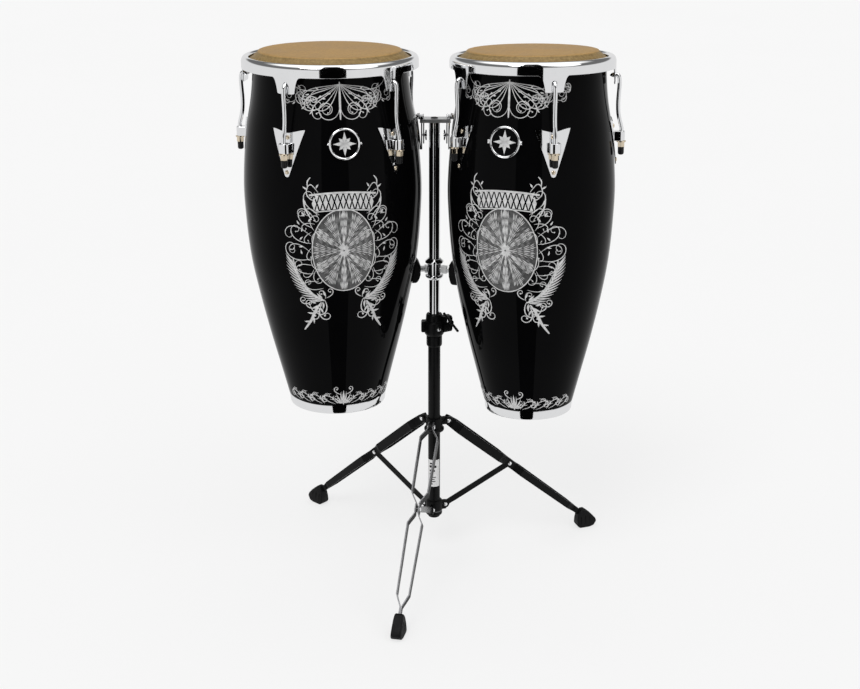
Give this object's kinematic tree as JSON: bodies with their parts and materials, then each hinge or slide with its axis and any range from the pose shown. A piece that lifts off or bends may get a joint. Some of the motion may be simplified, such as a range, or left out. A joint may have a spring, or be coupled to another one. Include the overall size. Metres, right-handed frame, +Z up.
{
  "type": "conga drums",
  "caption": "Pair of conga drums with rawhide heads and chrome hardware, hung on a height-adjustable folding tripod stand.",
  "frame": {"origin": "bottom centre of the bounding box, on the floor", "axes": "+Z up; -Y towards the player's side seen in the picture; +X towards the smaller drum"},
  "size_m": [0.7544, 0.6346, 1.0908],
  "materials": {
    "gloss_black_shell": "high gloss black lacquer over wood staves",
    "rawhide": "natural tan rawhide",
    "chrome": "polished chrome",
    "black_steel": "semi-gloss black powder coat",
    "black_rubber": "matte moulded rubber"
  },
  "bodies": {
    "base": {"base_tube": "black_steel", "height_clamp": "black_steel"},
    "leg_collar": {"leg_collar": "black_steel"},
    "leg_front": {"leg_front": "black_steel", "foot_front": "black_rubber"},
    "brace_front": {"brace_front": "black_steel"},
    "leg_left": {"leg_left": "black_steel", "foot_left": "black_rubber"},
    "brace_left": {"brace_left": "black_steel"},
    "leg_right": {"leg_right": "black_steel", "foot_right": "black_rubber"},
    "brace_right": {"brace_right": "black_steel"},
    "mast": {"upper_tube": "chrome", "crossbar": "chrome"},
    "support": {"support_clamp": "chrome", "bumper_left": "black_rubber", "bumper_right": "black_rubber"},
    "height_bolt": {"height_bolt": "black_steel"},
    "drum_left": {"shell_left": "gloss_black_shell", "head_left": "rawhide", "rim_left": "chrome", "bottom_ring_left": "chrome", "mount_plate_left": "chrome", "tension_hook_left_1": "chrome", "tension_hook_left_2": "chrome", "tension_hook_left_3": "chrome", "tension_hook_left_4": "chrome", "tension_hook_left_5": "chrome", "side_plate_left_1": "chrome", "side_plate_left_2": "chrome", "side_plate_left_3": "chrome", "side_plate_left_4": "chrome", "side_plate_left_5": "chrome"},
    "wing_bolt_left": {"wing_bolt_left": "chrome"},
    "tuning_nut_left_1": {"tuning_nut_left_1": "chrome"},
    "tuning_nut_left_2": {"tuning_nut_left_2": "chrome"},
    "tuning_nut_left_3": {"tuning_nut_left_3": "chrome"},
    "tuning_nut_left_4": {"tuning_nut_left_4": "chrome"},
    "tuning_nut_left_5": {"tuning_nut_left_5": "chrome"},
    "drum_right": {"shell_right": "gloss_black_shell", "head_right": "rawhide", "rim_right": "chrome", "bottom_ring_right": "chrome", "mount_plate_right": "chrome", "tension_hook_right_1": "chrome", "tension_hook_right_2": "chrome", "tension_hook_right_3": "chrome", "tension_hook_right_4": "chrome", "tension_hook_right_5": "chrome", "side_plate_right_1": "chrome", "side_plate_right_2": "chrome", "side_plate_right_3": "chrome", "side_plate_right_4": "chrome", "side_plate_right_5": "chrome"},
    "wing_bolt_right": {"wing_bolt_right": "chrome"},
    "tuning_nut_right_1": {"tuning_nut_right_1": "chrome"},
    "tuning_nut_right_2": {"tuning_nut_right_2": "chrome"},
    "tuning_nut_right_3": {"tuning_nut_right_3": "chrome"},
    "tuning_nut_right_4": {"tuning_nut_right_4": "chrome"},
    "tuning_nut_right_5": {"tuning_nut_right_5": "chrome"}
  },
  "joints": [
    {"name": "leg_collar_slide", "type": "slide", "parent": "base", "child": "leg_collar", "axis": [0, 0, 1], "range_m": [0, 0.145]},
    {"name": "leg_front_fold", "type": "hinge", "parent": "leg_collar", "child": "leg_front", "pos_m": [0.00751, 0.02615, 0.303], "axis": [0.9806, -0.1959, 0], "range_deg": [0, 36.58]},
    {"name": "brace_front_fold", "type": "hinge", "parent": "base", "child": "brace_front", "pos_m": [0.00867, 0.03193, 0.1075], "axis": [0.9806, -0.1959, 0], "range_deg": [-46.45, 0]},
    {"name": "leg_left_fold", "type": "hinge", "parent": "leg_collar", "child": "leg_left", "pos_m": [-0.00959, 0.07668, 0.303], "axis": [-0.66, -0.7513, 0], "range_deg": [0, 36.58]},
    {"name": "brace_left_fold", "type": "hinge", "parent": "base", "child": "brace_left", "pos_m": [-0.00516, 0.07278, 0.1075], "axis": [-0.66, -0.7513, 0], "range_deg": [-46.45, 0]},
    {"name": "leg_right_fold", "type": "hinge", "parent": "leg_collar", "child": "leg_right", "pos_m": [0.04272, 0.06623, 0.303], "axis": [-0.3206, 0.9472, 0], "range_deg": [0, 36.58]},
    {"name": "brace_right_fold", "type": "hinge", "parent": "base", "child": "brace_right", "pos_m": [0.03713, 0.06433, 0.1075], "axis": [-0.3206, 0.9472, 0], "range_deg": [-46.45, 0]},
    {"name": "mast_slide", "type": "slide", "parent": "base", "child": "mast", "axis": [0, 0, 1], "range_m": [-0.02, 0.15]},
    {"name": "support_slide", "type": "slide", "parent": "mast", "child": "support", "axis": [0, 0, 1], "range_m": [-0.03, 0]},
    {"name": "height_bolt_turn", "type": "hinge", "parent": "base", "child": "height_bolt", "pos_m": [0.04054, 0.05135, 0.53], "axis": [0.5, -0.866, 0], "continuous": true},
    {"name": "drum_left_lift", "type": "slide", "parent": "mast", "child": "drum_left", "axis": [0, 0, 1], "range_m": [0, 0.06]},
    {"name": "wing_bolt_left_turn", "type": "hinge", "parent": "mast", "child": "wing_bolt_left", "pos_m": [-0.01046, 0.05635, 0.913], "axis": [-1, 0, 0], "continuous": true},
    {"name": "tuning_nut_left_1_turn", "type": "hinge", "parent": "drum_left", "child": "tuning_nut_left_1", "pos_m": [-0.26392, -0.12823, 0.91384], "axis": [0, 0.0122, 0.9999], "continuous": true},
    {"name": "tuning_nut_left_2_turn", "type": "hinge", "parent": "drum_left", "child": "tuning_nut_left_2", "pos_m": [-0.0524, -0.08711, 0.91334], "axis": [0, 0.0122, 0.9999], "continuous": true},
    {"name": "tuning_nut_left_3_turn", "type": "hinge", "parent": "drum_left", "child": "tuning_nut_left_3", "pos_m": [-0.02614, 0.12675, 0.91073], "axis": [0, 0.0122, 0.9999], "continuous": true},
    {"name": "tuning_nut_left_4_turn", "type": "hinge", "parent": "drum_left", "child": "tuning_nut_left_4", "pos_m": [-0.22143, 0.21781, 0.90961], "axis": [0, 0.0122, 0.9999], "continuous": true},
    {"name": "tuning_nut_left_5_turn", "type": "hinge", "parent": "drum_left", "child": "tuning_nut_left_5", "pos_m": [-0.36839, 0.06023, 0.91154], "axis": [0, 0.0122, 0.9999], "continuous": true},
    {"name": "drum_right_lift", "type": "slide", "parent": "mast", "child": "drum_right", "axis": [0, 0, 1], "range_m": [0, 0.06]},
    {"name": "wing_bolt_right_turn", "type": "hinge", "parent": "mast", "child": "wing_bolt_right", "pos_m": [0.04054, 0.05635, 0.913], "axis": [1, 0, 0], "continuous": true},
    {"name": "tuning_nut_right_1_turn", "type": "hinge", "parent": "drum_right", "child": "tuning_nut_right_1", "pos_m": [0.23052, -0.17689, 0.92418], "axis": [-0.0087, 0.0393, 0.9992], "continuous": true},
    {"name": "tuning_nut_right_2_turn", "type": "hinge", "parent": "drum_right", "child": "tuning_nut_right_2", "pos_m": [0.36835, -0.03176, 0.91968], "axis": [-0.0087, 0.0393, 0.9992], "continuous": true},
    {"name": "tuning_nut_right_3_turn", "type": "hinge", "parent": "drum_right", "child": "tuning_nut_right_3", "pos_m": [0.27286, 0.14403, 0.91194], "axis": [-0.0087, 0.0393, 0.9992], "continuous": true},
    {"name": "tuning_nut_right_4_turn", "type": "hinge", "parent": "drum_right", "child": "tuning_nut_right_4", "pos_m": [0.07601, 0.10754, 0.91166], "axis": [-0.0087, 0.0393, 0.9992], "continuous": true},
    {"name": "tuning_nut_right_5_turn", "type": "hinge", "parent": "drum_right", "child": "tuning_nut_right_5", "pos_m": [0.04985, -0.0908, 0.91922], "axis": [-0.0087, 0.0393, 0.9992], "continuous": true}
  ],
  "couplings": [
    {"joint": "leg_front_fold", "follows": "leg_collar_slide", "rad_per_m": 4.4006},
    {"joint": "brace_front_fold", "follows": "leg_collar_slide", "rad_per_m": -5.5891},
    {"joint": "leg_left_fold", "follows": "leg_collar_slide", "rad_per_m": 4.4006},
    {"joint": "brace_left_fold", "follows": "leg_collar_slide", "rad_per_m": -5.5891},
    {"joint": "leg_right_fold", "follows": "leg_collar_slide", "rad_per_m": 4.4006},
    {"joint": "brace_right_fold", "follows": "leg_collar_slide", "rad_per_m": -5.5891}
  ]
}
